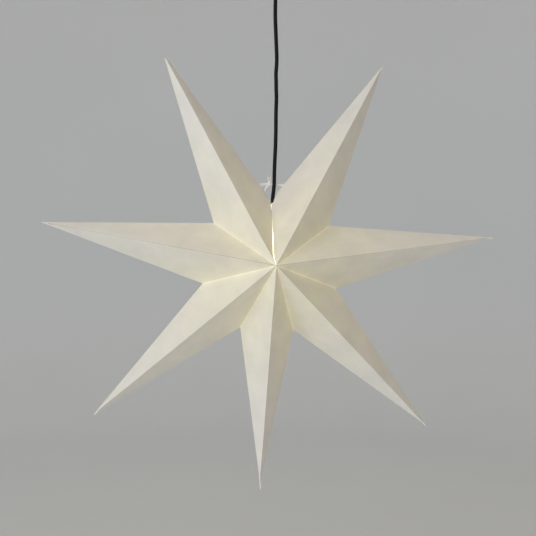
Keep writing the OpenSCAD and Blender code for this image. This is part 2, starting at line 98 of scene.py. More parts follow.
# Mesh helpers
def newObject(name, mesh):
    piece = bpy.data.objects.new(name, mesh)
    scene.collection.objects.link(piece)
    return piece


def meshFrom(name, points, faces):
    mesh = bpy.data.meshes.new(name)
    mesh.from_pydata([tuple(p) for p in points], [], faces)
    mesh.update()
    return mesh


def curvePoint(points, i, t):
    # Catmull-Rom through the chosen points, which keeps every one of them
    a, b = points[max(i - 1, 0)], points[i]
    c, d = points[i + 1], points[min(i + 2, len(points) - 1)]
    return 0.5 * (2 * b + (c - a) * t + (2 * a - 5 * b + 4 * c - d) * t * t
                  + (3 * b - a - 3 * c + d) * t * t * t)


def smoothPath(points, spacing):
    path = []
    for i in range(len(points) - 1):
        steps = max(1, round((points[i + 1] - points[i]).length / spacing))
        path += [curvePoint(points, i, s / steps) for s in range(steps)]
    return path + [points[-1]]


def pathLength(path):
    return sum((b - a).length for a, b in zip(path, path[1:]))


def tubeMesh(name, path, radii, sides):
    # Round tube with closed ends, its frame carried along so that it never twists
    points, faces, along = [], [], []
    side = Vector((1, 0, 0))
    run = 0.0
    for i, p in enumerate(path):
        ahead = (path[min(i + 1, len(path) - 1)] - path[max(i - 1, 0)]).normalized()
        side = (side - ahead * side.dot(ahead)).normalized()
        other = ahead.cross(side)
        run += (p - path[i - 1]).length if i else 0.0
        along.append(run)
        for s in range(sides):
            a = 2 * math.pi * s / sides
            points.append(p + (side * math.cos(a) + other * math.sin(a)) * radii[i])
    for i in range(len(path) - 1):
        for s in range(sides):
            a, b = i * sides + s, i * sides + (s + 1) % sides
            faces.append((a, b, b + sides, a + sides))
    faces.append(tuple(reversed(range(sides))))
    faces.append(tuple(range((len(path) - 1) * sides, len(path) * sides)))
    mesh = meshFrom(name, points, faces)
    uv = mesh.uv_layers.new(name="sleeveMap")
    for face in mesh.polygons:
        last = max((v % sides for v in face.vertices), default=0) == sides - 1
        for loop, v in zip(face.loop_indices, face.vertices):
            turn = v % sides
            if last and turn == 0 and len(face.vertices) == 4:
                turn = sides
            uv.data[loop].uv = (turn / sides, along[v // sides])
    mesh.shade_smooth()
    return mesh


# Lamp cord: taut from the holder in the star to the cup on the ceiling
cordSize = {"diameter": 6.0, "sides": 28, "ring": 2.5}
cordRoute = [point(*p) for p in [
    (-4, 0, -426), (-4, 0, -418), (-4, 0, -411), (-4, 0, -404), (-3.2, 0, -394), (-1.9, 0, -383),
    (-1.2, 0, -372), (-1, 0, -358), (-0.6, 0, -344), (0, 0, -330), (0.6, 0, -316), (1, 0, -300),
    (1.2, 0, -284), (1.2, 0, -268), (1.5, 0.2, -254), (1.9, 0.3, -241), (1.5, 0.2, -228),
    (1.3, 0, -215), (1, 0, -203), (1.8, -0.2, -190), (2.1, -0.2, -178), (1.6, 0, -164),
    (0.9, 0, -148), (0.2, 0, -132), (-0.4, 0, -116), (-0.4, 0, -100), (-0.2, 0, -84),
    (0, 0, -70), (0, 0, -56), (0, 0, -42), (0, 0, -28)]]


def makeCord(size, route):
    path = smoothPath(route, size["ring"] * mm)
    radius = size["diameter"] * mm / 2
    cord = newObject("lampCord", tubeMesh("lampCord", path, [radius] * len(path), size["sides"]))
    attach(cord, "root")
    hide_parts("lamp_cord")
    print("cord made:", round(pathLength(path), 3), "m")
    return cord


lampCord = makeCord(cordSize, cordRoute)

# Stage: a pale floor that sweeps up into a round pale wall, so every view has the same ground
stageSize = {
    "floorDrop": 1450.0, "floorRadius": 3300.0, "bend": 900.0, "wallTop": 900.0, "rings": 12, "sides": 96,
}


def makeStage(size):
    profile = [(0.0, -size["floorDrop"])]
    for i in range(size["rings"] + 1):
        a = math.pi / 2 * i / size["rings"]
        profile.append((size["floorRadius"] + size["bend"] * math.sin(a),
                        -size["floorDrop"] + size["bend"] * (1 - math.cos(a))))
    profile.append((size["floorRadius"] + size["bend"], size["wallTop"]))
    points, faces = [point(0, 0, profile[0][1])], []
    for r, z in profile[1:]:
        for s in range(size["sides"]):
            a = 2 * math.pi * s / size["sides"]
            points.append(point(r * math.cos(a), r * math.sin(a), z))
    for s in range(size["sides"]):
        n = (s + 1) % size["sides"]
        faces.append((0, 1 + s, 1 + n))
        for i in range(len(profile) - 2):
            low = 1 + i * size["sides"]
            faces.append((low + s, low + size["sides"] + s, low + size["sides"] + n, low + n))
    floor = newObject("paleSweep", meshFrom("paleSweep", points, faces))
    floor.data.shade_smooth()
    return floor


paleSweep = makeStage(stageSize)


# Light: one soft lamp from the front left, and the warm room
softKey = {
    "place": point(-1700, -2300, 150), "target": point(-7.5, 0, -500), "size": 2.2, "watts": 42,
    "colour": (0.89, 0.95, 1.0),
}
room = {"colour": (1.0, 0.92, 0.79), "strength": 0.42}


def makeKeyLight(light):
    data = bpy.data.lights.new("softKey", "AREA")
    data.shape = "DISK"
    data.size = light["size"]
    data.energy = light["watts"]
    data.color = light["colour"]
    lamp = bpy.data.objects.new("softKey", data)
    scene.collection.objects.link(lamp)
    lamp.location = light["place"]
    lamp.rotation_euler = (light["target"] - light["place"]).to_track_quat("-Z", "Y").to_euler()


def makeWorld(look):
    world = bpy.data.worlds.new("studio")
    scene.world = world
    world.use_nodes = True
    ground = world.node_tree.nodes["Background"]
    ground.inputs["Color"].default_value = (*look["colour"], 1)
    ground.inputs["Strength"].default_value = look["strength"]


makeKeyLight(softKey)
makeWorld(room)
scene.view_settings.view_transform = "Standard"


# Star sizes, in millimetres and degrees, as the CAD rays have them
star = {
    "rayLen": 360.0, "notchR": 109.0, "halfDepth": 90.0, "drop": 500.0, "x": -7.5,
    "sag": 5.4, "turn": 1.9, "seamNotchIn": 8.0, "seamOpen": 2.4,
    "sheet": 0.3, "nibLen": 14.0, "nibWidth": 2.6, "nibThick": 1.2,
}
rays = [
    {"node": "ray_upper_left", "swing": 1, "extra": 7, "nibReach": -9, "nibBend": 3},
    {"node": "ray_upper_right", "swing": 0.25, "extra": 1, "nibReach": -2, "nibBend": 0},
    {"node": "ray_right", "swing": 1, "extra": 3, "nibReach": 0, "nibBend": -1},
    {"node": "ray_lower_right", "swing": -1, "extra": 3, "nibReach": 1, "nibBend": -1.5},
    {"node": "ray_bottom", "swing": -0.5, "extra": -13, "nibReach": 11, "nibBend": 1},
    {"node": "ray_lower_left", "swing": -0.5, "extra": -1, "nibReach": 1, "nibBend": 1.5},
    {"node": "ray_left", "swing": -0.75, "extra": -1, "nibReach": -2, "nibBend": 0},
]
notchSwing = [0.5, 1.5, 0.25, -0.25, -1.5, 0.25, 0]
notchExtra = [0, 0, 2, 3, 2, 1, 1]
rayAngle = 360 / len(rays)
centre = point(star["x"], 0, -star["drop"])
apexFront = centre - point(0, star["halfDepth"], 0)
apexBack = centre + point(0, star["halfDepth"], 0)


def ringPoint(radius, degrees):
    a = math.radians(degrees)
    return centre + point(radius * math.cos(a), 0, radius * math.sin(a))


def hung(degrees):
    return degrees - star["sag"] * math.cos(math.radians(degrees)) - star["turn"]


def rayTip(k):
    return ringPoint(star["rayLen"] + rays[k]["extra"],
                     hung(90 + rayAngle / 2 - k * rayAngle) + rays[k]["swing"])


def notchPoint(k):
    shorter = star["seamNotchIn"] if k == 1 else 0
    i = k % len(rays)
    return ringPoint(star["notchR"] + notchExtra[i] - shorter,
                     hung(90 + rayAngle - k * rayAngle) + notchSwing[i])


def notchBefore(k):
    return notchPoint(k) + point(star["seamOpen"] / 2 if k == 1 else 0, 0, 0)


def notchAfter(k):
    return notchPoint(k + 1) - point(star["seamOpen"] / 2 if k == 0 else 0, 0, 0)


# Node tree helpers, for Geometry Nodes and for shader node groups
class TreeMaker:
    def __init__(self, name, kind="GeometryNodeTree"):
        self.tree = bpy.data.node_groups.new(name, kind)
        self.ids = {}

    def input(self, name, kind):
        socket = self.tree.interface.new_socket(name, in_out="INPUT", socket_type=kind)
        self.ids[name] = socket.identifier

    def output(self, name, kind):
        self.tree.interface.new_socket(name, in_out="OUTPUT", socket_type=kind)

    def node(self, kind, **settings):
        made = self.tree.nodes.new(kind)
        for key, value in settings.items():
            setattr(made, key, value)
        return made

    def put(self, socket, value):
        if isinstance(value, bpy.types.NodeSocket):
            self.tree.links.new(value, socket)
        else:
            socket.default_value = value

    def math(self, operation, a, b=0.0, clamp=False):
        made = self.node("ShaderNodeMath", operation=operation, use_clamp=clamp)
        self.put(made.inputs[0], a)
        self.put(made.inputs[1], b)
        return made.outputs[0]

    def times(self, product, *others):
        for other in others:
            product = self.math("MULTIPLY", product, other)
        return product

    def vector(self, operation, a, b=(0, 0, 0)):
        made = self.node("ShaderNodeVectorMath", operation=operation)
        self.put(made.inputs[0], a)
        self.put(made.inputs[1], b)
        single = operation in ("DOT_PRODUCT", "LENGTH", "DISTANCE")
        return made.outputs["Value"] if single else made.outputs[0]

    def scaled(self, vector, by):
        made = self.node("ShaderNodeVectorMath", operation="SCALE")
        self.put(made.inputs[0], vector)
        self.put(made.inputs["Scale"], by)
        return made.outputs[0]

    def parts(self, vector):
        made = self.node("ShaderNodeSeparateXYZ")
        self.put(made.inputs[0], vector)
        return made.outputs

    def grey(self, value):
        made = self.node("ShaderNodeCombineColor")
        for socket in made.inputs:
            self.put(socket, value)
        return made.outputs[0]

    def mix(self, share, a, b):
        made = self.node("ShaderNodeMix", data_type="VECTOR")
        self.put(made.inputs[0], share)
        self.put(made.inputs[4], a)
        self.put(made.inputs[5], b)
        return made.outputs[1]

    def blend(self, share, a, b, kind="MIX"):
        made = self.node("ShaderNodeMix", data_type="RGBA", blend_type=kind)
        self.put(made.inputs[0], share)
        self.put(made.inputs[6], a)
        self.put(made.inputs[7], b)
        return made.outputs[2]

    def remap(self, value, low, high, outLow=0.0, outHigh=1.0, smooth=False):
        made = self.node("ShaderNodeMapRange", interpolation_type="SMOOTHSTEP" if smooth else "LINEAR")
        for key, number in (("Value", value), ("From Min", low), ("From Max", high),
                            ("To Min", outLow), ("To Max", outHigh)):
            self.put(made.inputs[key], number)
        return made.outputs["Result"]

    def noise(self, vector, scale, detail=2.0, roughness=0.5):
        made = self.node("ShaderNodeTexNoise")
        given = {"Vector": vector, "Scale": scale, "Detail": detail, "Roughness": roughness}
        for key, value in given.items():
            self.put(made.inputs[key], value)
        return made.outputs[0]

    def given(self):
        return self.node("NodeGroupInput").outputs


def geometryEnds(t):
    # Every tree here takes the host mesh in and gives the finished mesh out
    t.tree.interface.new_socket("Geometry", in_out="INPUT", socket_type="NodeSocketGeometry")
    t.output("Geometry", "NodeSocketGeometry")


def finishTree(t, geometry, material):
    painted = t.node("GeometryNodeSetMaterial")
    t.put(painted.inputs["Geometry"], geometry)
    t.put(painted.inputs["Material"], material)
    t.put(t.node("NodeGroupOutput").inputs[0], painted.outputs[0])


def plainMesh(piece):
    # Bakes the modifiers of a piece into its mesh and removes them
    view = bpy.context.evaluated_depsgraph_get()
    view.update()
    mesh = bpy.data.meshes.new_from_object(piece.evaluated_get(view), depsgraph=view)
    piece.modifiers.clear()
    piece.data = mesh
    mesh.name = piece.name


def runTree(piece, t, values):
    modifier = piece.modifiers.new(t.tree.name, "NODES")
    modifier.node_group = t.tree
    for name, value in values.items():
        modifier[t.ids[name]] = value
    plainMesh(piece)


# Shader helpers
class MaterialMaker(TreeMaker):
    def __init__(self, name, metallic=0.0, roughness=0.5, **constants):
        self.material = bpy.data.materials.new(name)
        self.material.use_nodes = True
        self.tree = self.material.node_tree
        self.shader = self.tree.nodes["Principled BSDF"]
        self.shader.inputs["Metallic"].default_value = metallic
        self.shader.inputs["Roughness"].default_value = roughness
        for key, value in constants.items():
            self.shader.inputs[key].default_value = value
        self.place = self.node("ShaderNodeTexCoord").outputs["Object"]

    def set(self, socket, value):
        self.put(self.shader.inputs[socket], value)

    def group(self, t, **values):
        made = self.node("ShaderNodeGroup", node_tree=t.tree)
        for key, value in values.items():
            self.put(made.inputs[key.replace("_", " ")], value)
        return made.outputs

    def attribute(self, name):
        return self.node("ShaderNodeAttribute", attribute_name=name).outputs["Fac"]

    def bump(self, height, strength, distance):
        made = self.node("ShaderNodeBump")
        self.put(made.inputs["Height"], height)
        made.inputs["Strength"].default_value = strength
        made.inputs["Distance"].default_value = distance
        self.set("Normal", made.outputs[0])


# Scales of the pulp's noise, the squeeze that makes the fibres long, and the two faint tints
pulpGrain = {
    "clouds": 24.0, "patches": 30.0, "patchShift": (0.3, 0.7, 0.1), "fibres": 1500.0,
    "fibreSqueeze": (1.0, 1.0, 0.35), "pink": (1.0, 0.972, 0.985, 1), "green": (0.98, 1.0, 0.945, 1),
}


def cloudyPaper(grain):
    # Uneven pulp: cloudy patches with a faint change of tint, and short fibres
    t = TreeMaker("cloudyPaper", "ShaderNodeTree")
    t.input("Vector", "NodeSocketVector")
    t.input("Color", "NodeSocketColor")
    for name in ("Clouds", "Tint", "Fibres"):
        t.input(name, "NodeSocketFloat")
    t.output("Color", "NodeSocketColor")
    t.output("Height", "NodeSocketFloat")
    t.output("Clouds", "NodeSocketFloat")
    given = t.given()
    clouds = t.noise(given["Vector"], grain["clouds"], 4.0, 0.6)
    patches = t.noise(t.vector("ADD", given["Vector"], grain["patchShift"]), grain["patches"], 3.0)
    fibres = t.noise(t.vector("MULTIPLY", given["Vector"], grain["fibreSqueeze"]), grain["fibres"], 4.0, 0.7)
    cloudShade = t.times(t.math("SUBTRACT", clouds, 0.5), given["Clouds"])
    fibreShade = t.times(t.math("SUBTRACT", fibres, 0.5), given["Fibres"])
    light = t.math("ADD", 1.0, t.math("ADD", cloudShade, fibreShade))
    tinted = t.blend(t.remap(patches, 0.4, 0.6, smooth=True), grain["pink"], grain["green"])
    tint = t.blend(t.times(given["Tint"], 10.0), (1, 1, 1, 1), tinted)
    colour = t.blend(1.0, given["Color"], tint, "MULTIPLY")
    colour = t.blend(1.0, colour, t.grey(light), "MULTIPLY")
    out = t.node("NodeGroupOutput")
    t.put(out.inputs["Color"], colour)
    t.put(out.inputs["Height"], t.math("ADD", fibres, t.times(clouds, 0.6)))
    t.put(out.inputs["Clouds"], clouds)
    return t


# The bulb's light in the paper: how fast it fades, and the lampholder's shade on the notch above it
bulbLight = {"middle": point(-4, 0, -501), "fade": 1.6, "shadeFrom": 0.92, "shadeTo": 0.97, "shade": 0.4}


def lampGlow(light):
    # Light of the bulb that comes through the sheet: strongest close to the globe
    t = TreeMaker("lampGlow", "ShaderNodeTree")
    t.input("Vector", "NodeSocketVector")
    t.input("Color", "NodeSocketColor")
    t.input("Near", "NodeSocketFloat")
    t.input("Far", "NodeSocketFloat")
    t.output("Color", "NodeSocketColor")
    t.output("Share", "NodeSocketFloat")
    given = t.given()
    away = t.vector("DISTANCE", given["Vector"], tuple(light["middle"]))
    share = t.remap(away, given["Near"], given["Far"], 1.0, 0.0)
    share = t.math("POWER", share, light["fade"])
    ahead = t.vector("NORMALIZE", t.vector("SUBTRACT", given["Vector"], tuple(light["middle"])))
    upward = t.vector("DOT_PRODUCT", ahead, (0, 0, 1))
    shade = t.remap(upward, light["shadeFrom"], light["shadeTo"], 1.0, light["shade"], smooth=True)
    share = t.times(share, shade)
    out = t.node("NodeGroupOutput")
    t.put(out.inputs["Color"], t.blend(1.0, given["Color"], t.grey(share), "MULTIPLY"))
    t.put(out.inputs["Share"], share)
    return t


def handledWear():
    # Faint dust and fine rubbing, for the plastic and metal parts
    t = TreeMaker("handledWear", "ShaderNodeTree")
    t.input("Vector", "NodeSocketVector")
    t.input("Scale", "NodeSocketFloat")
    t.input("Dust", "NodeSocketFloat")
    t.output("Mask", "NodeSocketFloat")
    t.output("Height", "NodeSocketFloat")
    given = t.given()
    broad = t.noise(given["Vector"], t.times(given["Scale"], 0.25), 3.0)
    fine = t.noise(given["Vector"], t.times(given["Scale"], 6.0), 5.0, 0.65)
    specks = t.remap(fine, 0.56, 0.72, smooth=True)
    out = t.node("NodeGroupOutput")
    dust = t.math("ADD", t.times(broad, 0.6), specks)
    t.put(out.inputs["Mask"], t.math("MULTIPLY", given["Dust"], dust, clamp=True))
    t.put(out.inputs["Height"], t.math("ADD", fine, t.times(broad, 0.3)))
    return t


paperGroup = cloudyPaper(pulpGrain)
glowGroup = lampGlow(bulbLight)
wearGroup = handledWear()

# Paper: colours, widths in metres, and ranges. A range of two is where an effect starts and ends,
# and one of four adds the two results.
paperLook = {
    "white": (0.805, 0.777, 0.74, 1), "warmed": (0.99, 0.975, 0.9, 1), "clouds": 0.2, "tint": 0.05,
    "fibres": 0.1, "unevenRange": (0.3, 0.7, 0.8, 1.2), "roughRange": (0.2, 1.2, 0.76, 0.9),
    # The fold shade and its range paint shade along the ridge creases
    "foldWidth": 0.0015, "foldShade": (0.42, 0.39, 0.34, 1), "ridgeRange": (0.5, 0.9),
    "ridgeShadeRange": (0.2, 1.0, 0.32, 0.8), "glow": (0.05, 0.047, 0.018, 1), "glowRange": (0.085, 0.31),
    "through": (0.022, 0.012, 0.0, 1), "valleyGlow": (0.12, 0.117, 0.09, 1), "valleyWidth": 0.0015,
    "valleyRange": (0.1, 0.6), "softGlow": (0.034, 0.032, 0.016, 1), "softWidth": 0.014,
    "softRange": (0.09, 0.4), "bump": (0.25, 0.0004),
}
insideLook = {
    "white": (0.86, 0.84, 0.78, 1), "clouds": 0.08, "tint": 0.03, "fibres": 0.05,
    "glow": (0.92, 0.95, 0.8, 1), "glowRange": (0.11, 0.6), "bump": (0.25, 0.0004),
}


def paperMaker(name, roughness):
    return MaterialMaker(name, roughness=roughness, **{"Emission Strength": 1.0, "Specular IOR Level": 0.3})


def pulpOf(m, look):
    return m.group(paperGroup, Vector=m.place, Color=look["white"], Clouds=look["clouds"],
                   Tint=look["tint"], Fibres=look["fibres"])


def glowOf(m, colour, reach):
    return m.group(glowGroup, Vector=m.place, Color=colour, Near=reach[0], Far=reach[1])


def outerPaper(look):
    m = paperMaker("foldedPaper", 0.82)
    pulp = pulpOf(m, look)
    fold = m.remap(m.attribute("foldDistance"), 0.0, look["foldWidth"], 1.0, 0.0, smooth=True)
    ridge = m.times(fold, m.remap(m.attribute("ridgeNearness"), *look["ridgeRange"]))
    # The paper looks warmer where the lamp is close behind it
    lamp = glowOf(m, look["glow"], look["glowRange"])
    sheet = m.blend(lamp["Share"], pulp["Color"], m.blend(1.0, pulp["Color"], look["warmed"], "MULTIPLY"))
    # Painted shade: the ridge creases are darkened with the fold shade, most where the lamp is close
    ridgeShade = m.times(ridge, m.remap(lamp["Share"], *look["ridgeShadeRange"]))
    m.set("Base Color", m.blend(ridgeShade, sheet, m.blend(1.0, sheet, look["foldShade"], "MULTIPLY")))
    # The lamp's light through the sheet, brightest along the valleys where the glue line lets it out
    away = m.attribute("valleyDistance")
    line = m.remap(away, 0.0, look["valleyWidth"], 1.0, 0.0, smooth=True)
    soft = m.remap(away, 0.0, look["softWidth"], 1.0, 0.0, smooth=True)
    glow = m.blend(1.0, lamp["Color"], look["through"], "ADD")
    bright = glowOf(m, look["valleyGlow"], look["valleyRange"])["Color"]
    broad = glowOf(m, look["softGlow"], look["softRange"])["Color"]
    glow = m.blend(line, glow, m.blend(1.0, glow, bright, "ADD"))
    glow = m.blend(soft, glow, m.blend(1.0, glow, broad, "ADD"))
    uneven = m.grey(m.remap(pulp["Clouds"], *look["unevenRange"]))
    m.set("Emission Color", m.blend(1.0, glow, uneven, "MULTIPLY"))
    m.set("Roughness", m.remap(pulp["Height"], *look["roughRange"]))
    m.bump(pulp["Height"], *look["bump"])
    return m.material


def innerPaper(look):
    m = paperMaker("innerPaper", 0.85)
    pulp = pulpOf(m, look)
    m.set("Base Color", pulp["Color"])
    m.set("Emission Color", glowOf(m, look["glow"], look["glowRange"])["Color"])
    m.bump(pulp["Height"], *look["bump"])
    return m.material


foldedPaper = outerPaper(paperLook)
insidePaper = innerPaper(insideLook)

# One folded ray: a grid whose rows run from the base edges to the pressed end, and whose
# columns go round the four panels, from the back ridge by the front ridge and back again.
# Lengths are in metres.
rayShape = {
    "rows": 121, "columns": 49, "openShare": 0.9, "seamReach": 0.16, "seamFull": 0.004,
    "seamUnglued": 0.008, "panelBow": 0.0004, "bowStart": 0.15, "bowEnd": 0.7,
    "waviness": 0.0006, "waveSize": 0.05, "foldRound": 0.00045, "foldAngle": 20, "sharpAngle": 14,
    "pressedAt": 0.55, "taperStart": 0.3, "taperEnd": 0.95, "taperLeft": 0.5, "closeFrom": 0.93,
    "weld": 0.00002,
}
# Along the front seam from the apex (0) to the notch (1), as a share of seamFull: how far each
# edge stands open, and how far the seam has bowed to the left
seamOpening = [(0.0, 0.01), (0.05, 0.03), (0.1, 0.08), (0.16, 0.13), (0.26, 0.14), (0.37, 0.11),
               (0.47, 0.06), (0.57, 0.02), (0.8, 0.02), (0.84, 0.03), (0.9, 0.15), (0.95, 0.22),
               (1.0, 0.3)]
seamBow = [(0.0, 0.0), (0.05, 0.33), (0.09, 0.66), (0.14, 0.86), (0.2, 0.8), (0.26, 0.7), (0.39, 0.48),
           (0.48, 0.36), (0.64, 0.16), (0.84, 0.0), (1.0, 0.0)]


def alongSeam(t, share, points, full):
    made = t.node("ShaderNodeFloatCurve")
    t.put(made.inputs["Value"], share)
    curve = made.mapping.curves[0]
    for x, y in points[1:-1]:
        curve.points.new(x, y)
    for mark, (x, y) in zip(curve.points, points):
        mark.location = (x, y)
        mark.handle_type = "AUTO_CLAMPED"
    made.mapping.update()
    return t.times(made.outputs["Value"], full)


def foldedRayTree(shape):
    t = TreeMaker("foldedRay")
    geometryEnds(t)
    for name in ("Apex Front", "Apex Back", "Notch Before", "Notch After", "Tip", "Side"):
        t.input(name, "NodeSocketVector")
    for name in ("Nib Reach", "Nib Bend", "Seam Side", "Seed"):
        t.input(name, "NodeSocketFloat")
    t.input("Paper", "NodeSocketMaterial")
    given = t.given()
    grid = t.node("GeometryNodeMeshGrid")
    spread = {"Size X": 1.0, "Size Y": 1.0, "Vertices X": shape["rows"], "Vertices Y": shape["columns"]}
    for name, value in spread.items():
        t.put(grid.inputs[name], value)
    place = t.parts(t.node("GeometryNodeInputPosition").outputs[0])
    u = t.math("ADD", place["X"], 0.5)
    v = t.math("ADD", place["Y"], 0.5)
    a = t.remap(u, 0.0, shape["openShare"])
    b = t.remap(u, shape["openShare"], 1.0)
    # Base edge and the pressed end's outline, round the four corners
    around = t.times(v, 4.0)
    nibLength = star["nibLen"] * mm
    nibBack = t.scaled((0, 1, 0), star["nibThick"] * mm / 2)
    nibSide = t.scaled(given["Side"], star["nibWidth"] * mm / 2)
    base, nib = given["Apex Back"], nibBack
    corners = [(given["Notch Before"], nibSide),
               (given["Apex Front"], t.scaled(nibBack, -1.0)),
               (given["Notch After"], t.scaled(nibSide, -1.0)),
               (given["Apex Back"], nibBack)]
    for i, (corner, nibCorner) in enumerate(corners):
        step = t.math("SUBTRACT", around, float(i), clamp=True)
        base = t.mix(step, base, corner)
        nib = t.mix(step, nib, nibCorner)
    # Straight lines from the base edge to the plane where the pressed end begins
    middle = t.scaled(t.vector("ADD", given["Apex Front"], given["Apex Back"]), 0.5)
    ahead = t.vector("NORMALIZE", t.vector("SUBTRACT", given["Tip"], middle))
    toBase = t.vector("SUBTRACT", base, given["Tip"])
    depth = t.math("ABSOLUTE", t.vector("DOT_PRODUCT", toBase, ahead))
    nearTip = t.math("DIVIDE", nibLength, depth)
    ring = t.vector("ADD", given["Tip"], t.scaled(toBase, nearTip))
    panel = t.mix(a, base, ring)
    # The pressed end flattens to a lozenge, bends sideways and closes bluntly
    press = t.remap(b, 0.0, shape["pressedAt"], smooth=True)
    taper = t.times(t.remap(b, shape["taperStart"], shape["taperEnd"], 1.0, shape["taperLeft"]),
                    t.remap(b, shape["closeFrom"], 1.0, 1.0, 0.0))
    ringMiddle = t.vector("SUBTRACT", given["Tip"], t.scaled(ahead, nibLength))
    section = t.mix(press, t.vector("SUBTRACT", ring, ringMiddle), nib)
    section = t.scaled(section, taper)
    reach = t.times(t.math("ADD", nibLength, given["Nib Reach"]), b)
    bend = t.times(given["Nib Bend"], t.times(b, b))
    line = t.vector("ADD", ringMiddle, t.vector("ADD", t.scaled(ahead, reach), t.scaled(given["Side"], bend)))
    spot = t.mix(t.math("GREATER_THAN", b, 0.0), panel, t.vector("ADD", line, section))
    # The open seam's edges stand apart and close again within the first part of the panel. The
    # limit just over 1 keeps the notch's own column with the seam's face.
    off = t.math("SUBTRACT", v, 0.5)
    offShare = t.times(t.math("ABSOLUTE", off), 4.0)
    seamFace = t.times(t.math("GREATER_THAN", t.times(off, given["Seam Side"]), 0.0),
                       t.math("LESS_THAN", offShare, 1.001))
    half = t.math("SUBTRACT", alongSeam(t, offShare, seamOpening, shape["seamFull"]),
                  t.times(offShare, star["seamOpen"] * mm / 2))
    half = t.math("ADD", t.times(half, given["Seam Side"]),
                  alongSeam(t, offShare, seamBow, shape["seamFull"]))
    fade = t.remap(a, 0.0, shape["seamReach"], 1.0, 0.0, smooth=True)
    gap = t.times(half, seamFace, fade)
    spot = t.vector("SUBTRACT", spot, t.scaled((1, 0, 0), gap))
    # Distances in metres, which the paper's material reads, and the bow and waves of the panels.
    # The factors just under 4 and 2 keep the last column on the last panel.
    across = t.math("FRACT", t.times(v, 3.99999))
    toEdge = t.math("MINIMUM", across, t.math("SUBTRACT", 1.0, across))
    belly = t.times(across, t.math("SUBTRACT", 1.0, across), 4.0)
    panelEdge = t.vector("SUBTRACT", given["Apex Front"], given["Notch Before"])
    foldDistance = t.times(toEdge, t.vector("LENGTH", panelEdge), t.math("SUBTRACT", 1.0, a))
    apex = t.mix(t.math("LESS_THAN", offShare, 1.0), given["Apex Back"], given["Apex Front"])
    notch = t.mix(t.math("GREATER_THAN", off, 0.0), given["Notch Before"], given["Notch After"])
    edge = t.vector("NORMALIZE", t.vector("SUBTRACT", notch, apex))
    ringAway = t.vector("LENGTH", t.vector("CROSS_PRODUCT", t.vector("SUBTRACT", ring, apex), edge))
    # The open seam has no glue line, so its faces start some way from the bright line
    valleyDistance = t.math("ADD", t.times(ringAway, a), t.times(seamFace, shape["seamUnglued"]))
    halfRound = t.math("FRACT", t.times(v, 1.99999))
    ridgeNearness = t.times(t.math("ABSOLUTE", t.math("SUBTRACT", halfRound, 0.5)), 2.0)
    wave = t.node("ShaderNodeTexNoise", noise_dimensions="4D")
    for name, value in (("Vector", spot), ("W", given["Seed"]), ("Detail", 1.0),
                        ("Scale", 1 / shape["waveSize"])):
        t.put(wave.inputs[name], value)
    waves = t.times(t.math("SUBTRACT", wave.outputs[0], 0.5), shape["waviness"] * 2)
    rise = t.times(t.remap(a, 0.0, shape["bowStart"], smooth=True),
                   t.remap(a, 1.0, shape["bowEnd"], smooth=True))
    push = t.times(t.math("ADD", shape["panelBow"], waves), t.times(belly, rise))
    last = grid.outputs["Mesh"]
    for name, value in (("foldDistance", foldDistance), ("valleyDistance", valleyDistance),
                        ("ridgeNearness", ridgeNearness), ("push", push)):
        store = t.node("GeometryNodeStoreNamedAttribute", data_type="FLOAT", domain="POINT")
        for key, what in (("Geometry", last), ("Name", name), ("Value", value)):
            t.put(store.inputs[key], what)
        last = store.outputs[0]
    placed = t.node("GeometryNodeSetPosition")
    t.put(placed.inputs["Geometry"], last)
    t.put(placed.inputs["Position"], spot)
    merged = t.node("GeometryNodeMergeByDistance")
    t.put(merged.inputs["Geometry"], placed.outputs[0])
    t.put(merged.inputs["Distance"], shape["weld"])
    flipped = t.node("GeometryNodeFlipFaces")
    t.put(flipped.inputs[0], merged.outputs[0])
    bowed = t.node("GeometryNodeSetPosition")
    pushed = t.node("GeometryNodeInputNamedAttribute", data_type="FLOAT")
    t.put(pushed.inputs["Name"], "push")
    t.put(bowed.inputs["Geometry"], flipped.outputs[0])
    normal = t.node("GeometryNodeInputNormal").outputs[0]
    t.put(bowed.inputs["Offset"], t.scaled(normal, pushed.outputs[0]))
    cleaned = t.node("GeometryNodeRemoveAttribute")
    t.put(cleaned.inputs["Geometry"], bowed.outputs[0])
    t.put(cleaned.inputs["Name"], "push")
    finishTree(t, cleaned.outputs[0], given["Paper"])
    return t


def towards(n, v):
    return -n if n.dot(v) < 0 else n


def rayAhead(k):
    return (rayTip(k) - centre).normalized()


def panelNormal(k, corner, notch):
    return towards((notch - corner).cross(rayTip(k) - corner).normalized(), corner - centre)


def inset(k, depth):
    # Shift that moves all four panels of a ray inwards by a depth
    a = panelNormal(k, apexFront, notchBefore(k))
    b = panelNormal(k, apexFront, notchAfter(k))
    d = a.x * b.z - a.z * b.x
    return Vector((a.z - b.z, 0, b.x - a.x)) * (depth / d)


flapSize = {
    "width": 12.0, "bevel": 10.0, "fromApex": 10.0, "fromNotch": 28.0,
    "tabWidth": 10.0, "tabFromApex": 20.0, "tabFromTip": 70.0, "glueLine": 0.05,
    "rootIn": 0.1, "lapWidth": 4.0, "lapIn": 0.5, "lapShares": (0.84, 0.93), "lapTaper": 0.8,
}


def patchFaces(outline, normal):
    # One flat patch of paper, its face turned to the side that the normal names
    turn = (outline[1] - outline[0]).cross(outline[2] - outline[0]).dot(normal)
    return outline if turn > 0 else list(reversed(outline))


def looseLap(size):
    # The end of the open seam's own flap, not glued: it lies behind the gap and catches the light
    seam = notchPoint(1) - apexFront
    along = seam.normalized()
    inward = towards(Vector((0, along.z, -along.y)), centre - apexFront)
    side = point(size["lapWidth"] / 2, 0, 0)
    far = side * size["lapTaper"]
    low, high = [apexFront + seam * share + inward * size["lapIn"] * mm for share in size["lapShares"]]
    return patchFaces([low - side, low + side, high + far, high - far], -inward)


